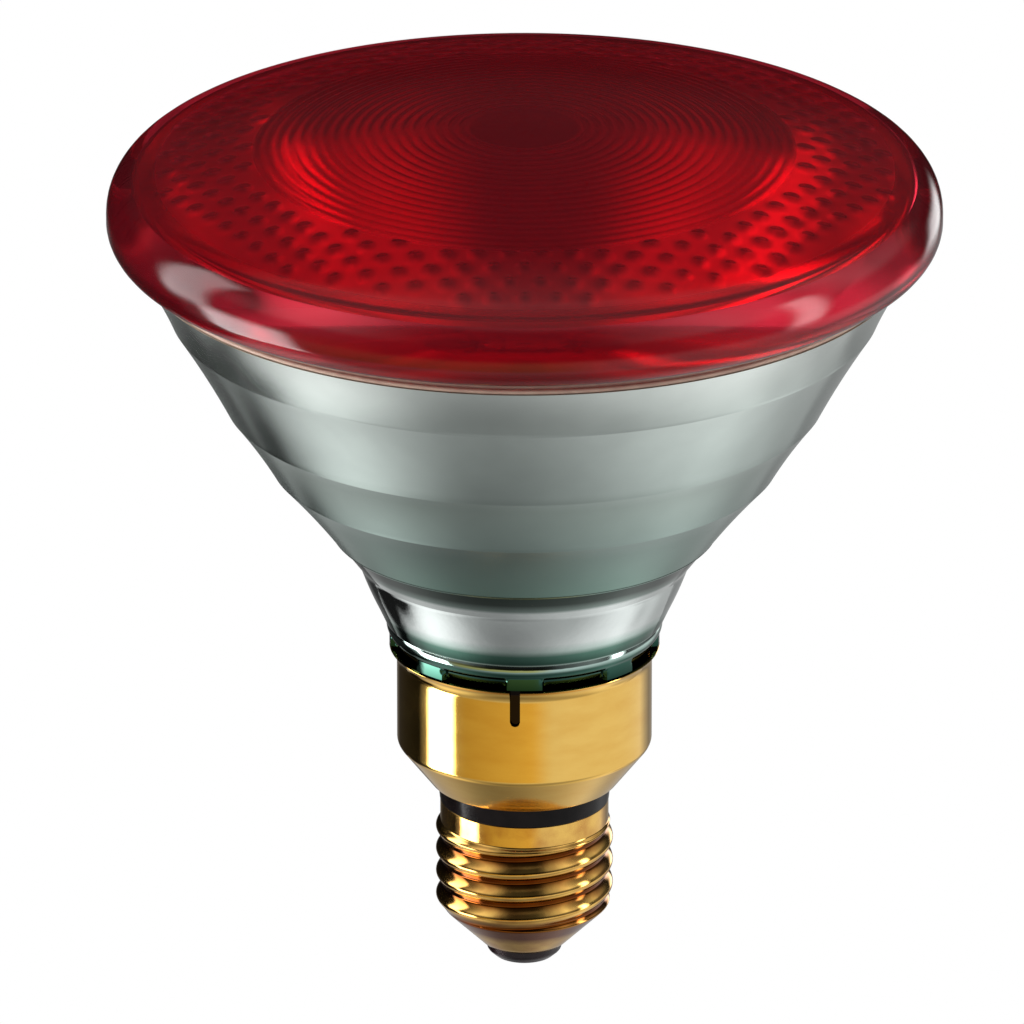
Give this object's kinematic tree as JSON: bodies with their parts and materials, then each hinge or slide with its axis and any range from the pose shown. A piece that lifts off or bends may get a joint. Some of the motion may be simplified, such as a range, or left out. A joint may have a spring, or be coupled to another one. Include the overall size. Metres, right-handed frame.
{
  "type": "infrared heat lamp bulb",
  "caption": "Infrared heat lamp with a ribbed red glass lens on a banded silver reflector, a brass skirt and a screw cap.",
  "frame": {"origin": "lowest point of the centre contact, on the lamp's axis", "axes": "+Z along the lamp's axis from the contact to the lens; -Y towards the skirt's front slot; +X to the right seen from the front"},
  "size_m": [0.122, 0.122, 0.1325],
  "materials": {
    "red_glass": "deep red pressed glass, glossy, see-through",
    "seal": "brown-gold sealing bead",
    "reflector_glass": "pressed glass, satin silver with a green tint, mirror-coated inside",
    "brass": "polished spun brass",
    "black_ring": "glossy black insulating ring",
    "black_glass": "black insulating glass",
    "contact_metal": "worn contact metal",
    "solder": "dull grey solder",
    "steel": "plain metal",
    "nickel": "bright nickel wire",
    "braze": "copper braze",
    "clear_glass": "clear glass",
    "tungsten": "dark grey wire",
    "copper": "bare copper wire"
  },
  "bodies": {
    "root": {"lens": "red_glass", "rim_seal": "seal", "reflector": "reflector_glass", "skirt": "brass", "insulating_ring": "black_ring", "screw_shell": "brass", "base_insulator": "black_glass", "centre_contact": "contact_metal", "contact_solder": "solder", "ferrule_left": "steel", "ferrule_right": "steel", "lead_post_left": "nickel", "lead_post_right": "nickel", "post_braze_left": "braze", "post_braze_right": "braze", "exhaust_tube": "clear_glass", "filament": "tungsten", "filament_clamp_left": "nickel", "filament_clamp_right": "nickel", "support_bridge": "clear_glass", "support_hook_left": "tungsten", "support_hook_right": "tungsten", "shell_wire": "copper", "contact_wire": "copper", "shell_weld": "steel"}
  },
  "joints": []
}
